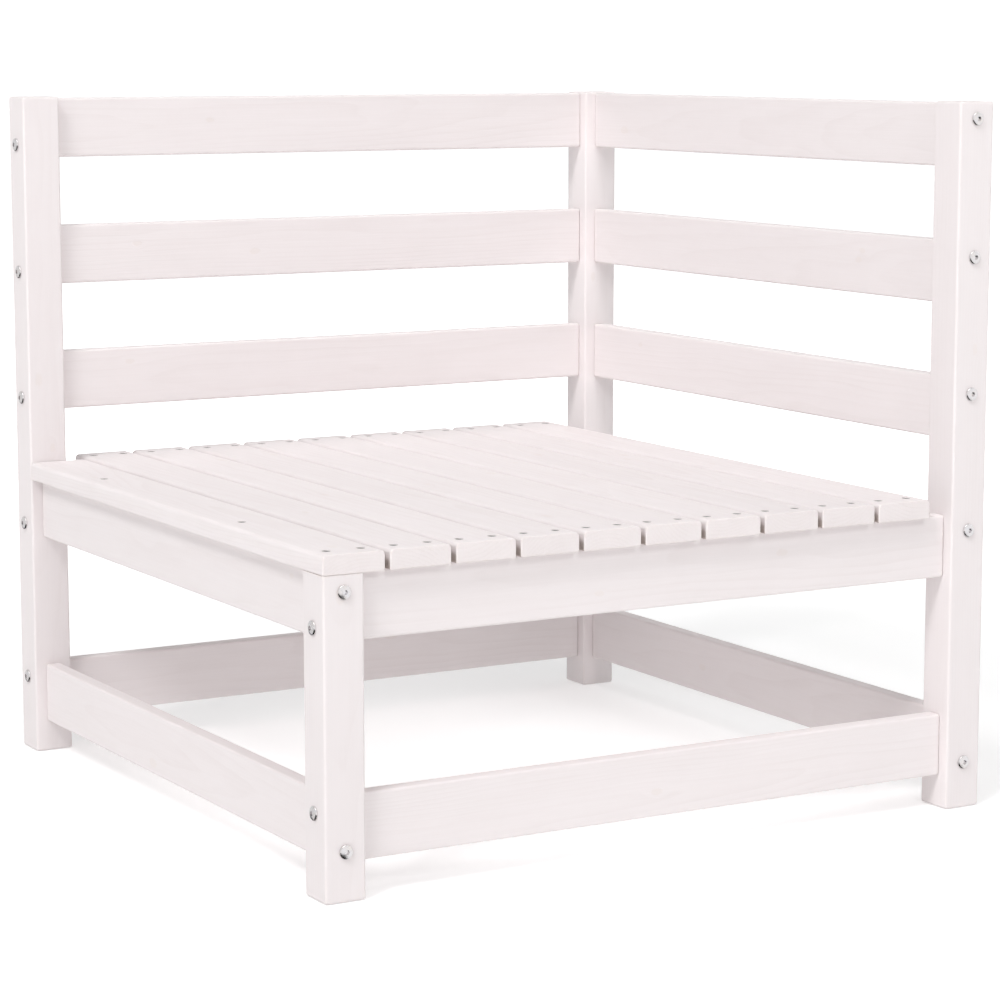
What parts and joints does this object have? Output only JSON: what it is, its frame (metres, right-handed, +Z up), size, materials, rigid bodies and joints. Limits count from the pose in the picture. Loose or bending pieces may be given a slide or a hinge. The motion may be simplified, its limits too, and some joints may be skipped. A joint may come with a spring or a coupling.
{
  "type": "garden corner sofa",
  "caption": "White-painted pine garden corner seat: a low square slatted seat with slatted backs along the rear and the right side, on a bolted frame of square posts and stretchers.",
  "frame": {"origin": "on the floor, under the middle of the square frame", "axes": "+X to the right as seen from the front (the side back is at +X), +Y towards the rear back, +Z up"},
  "size_m": [0.7064, 0.7064, 0.67],
  "materials": {
    "painted_pine": "white semi-opaque paint on planed pine",
    "seat_pine": "white semi-opaque paint on planed pine",
    "zinc_bolts": "bright zinc plate",
    "zinc_nuts": "bright zinc plate",
    "zinc_screws": "zinc plate",
    "beech_dowels": "bare beech"
  },
  "bodies": {
    "root": {"post_left_rear": "painted_pine", "post_corner": "painted_pine", "post_right_front": "painted_pine", "leg_front": "painted_pine", "back_slat_top": "painted_pine", "back_slat_middle": "painted_pine", "back_slat_bottom": "painted_pine", "rear_seat_rail": "painted_pine", "rear_stretcher": "painted_pine", "side_slat_top": "painted_pine", "side_slat_middle": "painted_pine", "side_slat_bottom": "painted_pine", "side_seat_rail": "painted_pine", "side_stretcher": "painted_pine", "front_seat_rail": "painted_pine", "front_stretcher": "painted_pine", "left_seat_rail": "painted_pine", "left_stretcher": "painted_pine", "seat_slat_01": "seat_pine", "seat_slat_02": "seat_pine", "seat_slat_03": "seat_pine", "seat_slat_04": "seat_pine", "seat_slat_05": "seat_pine", "seat_slat_06": "seat_pine", "seat_slat_07": "seat_pine", "seat_slat_08": "seat_pine", "seat_slat_09": "seat_pine", "seat_slat_10": "seat_pine", "frame_bolts": "zinc_bolts", "barrel_nuts": "zinc_nuts", "seat_screws": "zinc_screws", "locating_dowels": "beech_dowels"}
  },
  "joints": []
}
